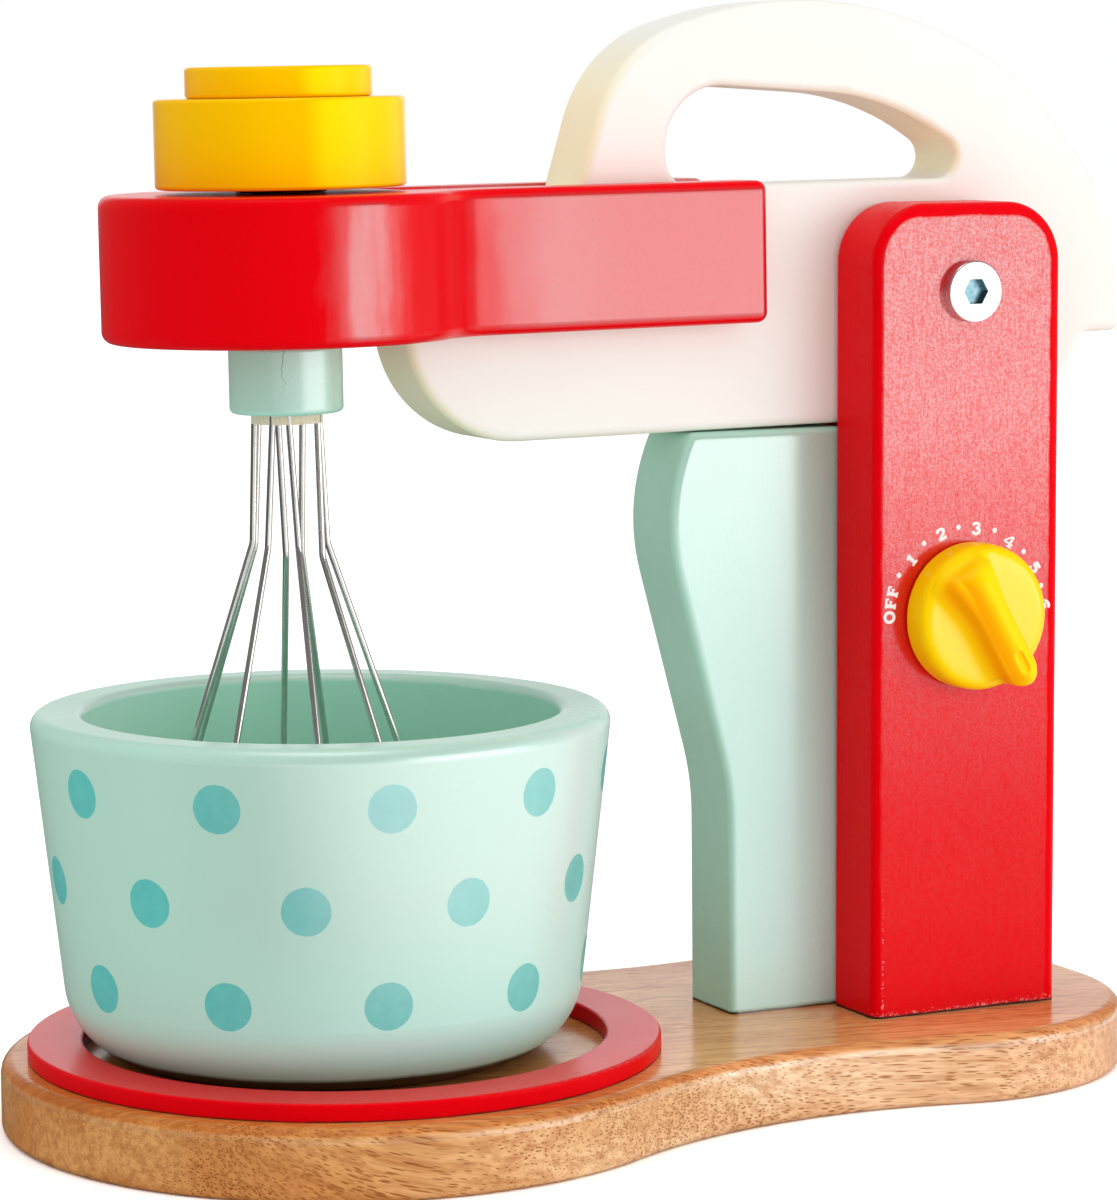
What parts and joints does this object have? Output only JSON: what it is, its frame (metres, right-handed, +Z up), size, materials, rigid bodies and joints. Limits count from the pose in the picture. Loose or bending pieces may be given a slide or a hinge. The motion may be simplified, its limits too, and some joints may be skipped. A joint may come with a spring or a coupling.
{
  "type": "toy stand mixer",
  "caption": "Painted wooden toy stand mixer: tilting arm with D handle, turning knob and wire whisk, loose dotted bowl in a ring, dial on the post.",
  "frame": {"origin": "on the table under the board, below the centre of the bowl ring", "axes": "+X from the bowl towards the post, +Y to the back (the dial faces -Y), +Z up"},
  "size_m": [0.28, 0.1578, 0.253],
  "materials": {
    "varnished_wood": "satin varnish",
    "bare_wood": "bare",
    "red_paint": "semi-gloss lacquer",
    "mint_paint": "semi-gloss lacquer",
    "cream_paint": "semi-gloss lacquer",
    "yellow_paint": "semi-gloss lacquer",
    "dial_yellow": "satin gloss",
    "steel_wire": "polished",
    "zinc_steel": "zinc plated",
    "clear_plastic": "natural nylon"
  },
  "bodies": {
    "stand": {"base_board": "varnished_wood", "base_screws": "zinc_steel", "bowl_ring": "red_paint", "front_cheek": "red_paint", "back_cheek": "red_paint", "support_column": "mint_paint", "post_dowels": "bare_wood", "pivot_bolt": "zinc_steel", "pivot_nut": "zinc_steel", "pivot_washers": "clear_plastic"},
    "arm": {"mixer_arm": "cream_paint", "head_block": "red_paint", "head_dowels": "bare_wood"},
    "whisk": {"knob_base": "yellow_paint", "knob_cap": "yellow_paint", "knob_screw": "zinc_steel", "spindle": "bare_wood", "knob_washer": "clear_plastic", "hub_washer": "clear_plastic", "whisk_hub": "mint_paint", "whisk_plug": "bare_wood", "whisk_loop_1": "steel_wire", "whisk_loop_2": "steel_wire", "whisk_loop_3": "steel_wire", "whisk_loop_4": "steel_wire"},
    "dial": {"dial_knob": "dial_yellow", "dial_spring_washer": "zinc_steel", "dial_washer": "zinc_steel", "dial_screw": "zinc_steel"},
    "bowl": {"bowl": "mint_paint"}
  },
  "joints": [
    {"name": "arm_tilt", "type": "hinge", "parent": "stand", "child": "arm", "pos_m": [0.1463, 0, 0.1857], "axis": [0, 1, 0], "range_deg": [0, 43]},
    {"name": "whisk_spin", "type": "hinge", "parent": "arm", "child": "whisk", "pos_m": [-0.01278, 0, 0.18348], "axis": [-0.014, 0, 0.9999], "continuous": true},
    {"name": "dial_turn", "type": "hinge", "parent": "stand", "child": "dial", "pos_m": [0.1463, -0.031, 0.1102], "axis": [0, -1, 0], "continuous": true},
    {"name": "bowl_lift", "type": "slide", "parent": "stand", "child": "bowl", "axis": [0, 0, 1], "range_m": [0, 0.014]}
  ]
}
